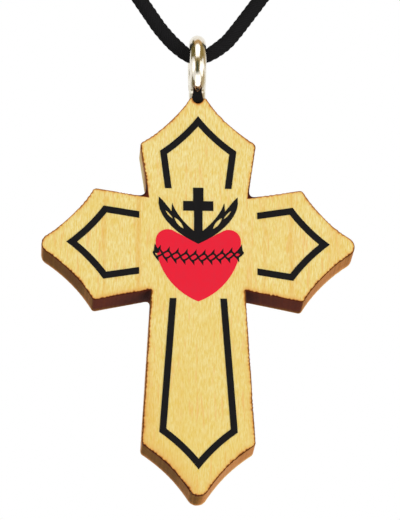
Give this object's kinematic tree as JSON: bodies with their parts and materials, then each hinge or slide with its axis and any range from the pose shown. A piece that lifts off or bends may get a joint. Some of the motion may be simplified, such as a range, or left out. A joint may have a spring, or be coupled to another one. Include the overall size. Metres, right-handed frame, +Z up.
{
  "type": "wooden cross pendant",
  "caption": "Laser-cut wooden cross pendant with ogee arm ends and a printed front, hung from a screw eye on a black cord.",
  "frame": {"origin": "centre of the screw eye's loop, where the cord carries the pendant", "axes": "+Z up along the foot of the cross, +X to the right of the printed front, which faces -Y"},
  "size_m": [0.03, 0.006, 0.0604],
  "materials": {
    "board_wood": "pale maple, sanded face, laser-burnt edges",
    "eye_metal": "polished nickel plate",
    "black_print": "satin printed ink",
    "red_print": "satin printed ink",
    "cord_textile": "twisted black cord with a soft sheen"
  },
  "bodies": {
    "root": {"cross_board": "board_wood", "screw_eye": "eye_metal", "top_line": "black_print", "left_line": "black_print", "right_line": "black_print", "foot_line": "black_print", "heart": "red_print", "heart_emblem": "black_print", "thorn_band": "black_print", "neck_cord": "cord_textile", "left_knot": "cord_textile", "right_knot": "cord_textile"}
  },
  "joints": []
}
